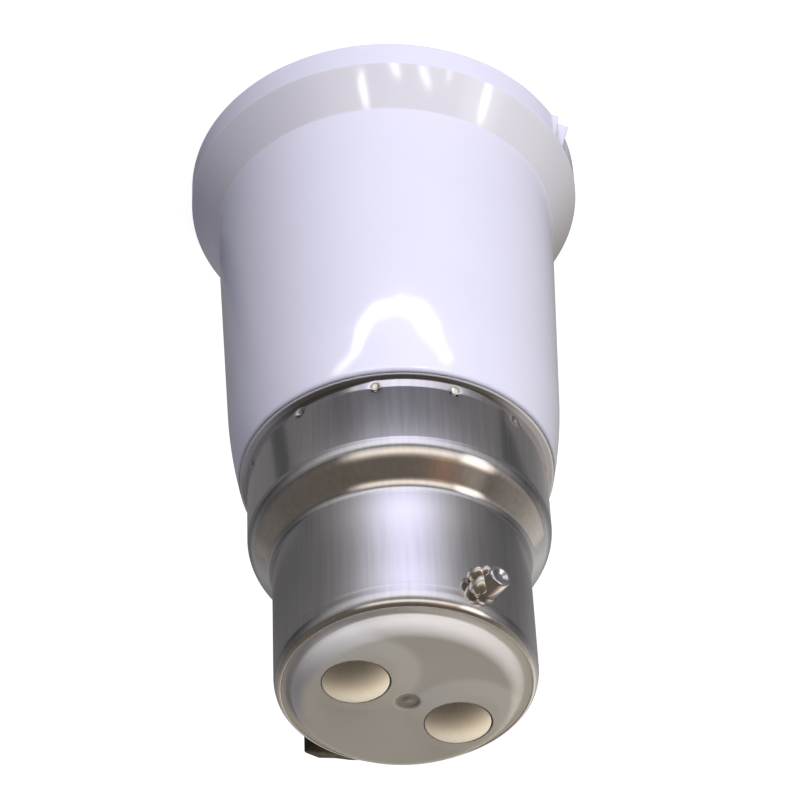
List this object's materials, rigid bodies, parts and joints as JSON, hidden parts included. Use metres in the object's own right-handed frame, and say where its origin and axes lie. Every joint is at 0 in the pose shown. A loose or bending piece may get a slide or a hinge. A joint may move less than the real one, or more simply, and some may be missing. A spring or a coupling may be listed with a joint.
{
  "type": "lamp socket adapter",
  "caption": "Lamp socket adapter: a flared white housing with a screw lamp socket in its mouth and a plated bayonet cap with cross pins and end contacts on its neck.",
  "frame": {"origin": "centre of the mouth's rim, on the plane that the rim stands on", "axes": "+Z along the axis to the bayonet cap's end face; +X through the bayonet pins; +Y through the end contacts"},
  "size_m": [0.0364, 0.0364, 0.062],
  "materials": {
    "housing_plastic": "gloss, moulded",
    "insulator_plastic": "satin, moulded",
    "nickel_plate": "drawn and nickel plated",
    "nickel_brass": "nickel plated, domed",
    "brass": "stamped, bare",
    "solder": "bright",
    "lead_insulation": "extruded"
  },
  "bodies": {
    "adapter": {"housing": "housing_plastic", "screw_shell": "nickel_plate", "shell_rivets": "brass", "contact_foot": "brass", "centre_rivet": "brass", "shell_tag": "brass", "centre_tag": "brass", "shell_lead": "lead_insulation", "centre_lead": "lead_insulation", "solder_joints": "solder", "cap_shell": "nickel_plate", "cap_insulator": "insulator_plastic", "bayonet_pin_1": "nickel_plate", "bayonet_pin_2": "nickel_plate", "end_contact_1": "nickel_brass", "end_contact_2": "nickel_brass"},
    "tongue": {"contact_tongue": "brass"}
  },
  "joints": [
    {"name": "centre_contact_flex", "type": "hinge", "parent": "adapter", "child": "tongue", "pos_m": [-0.0062, 0, 0.0295], "axis": [0, -1, 0], "range_deg": [0, 12], "stiffness_Nm_per_rad": 0.3}
  ]
}
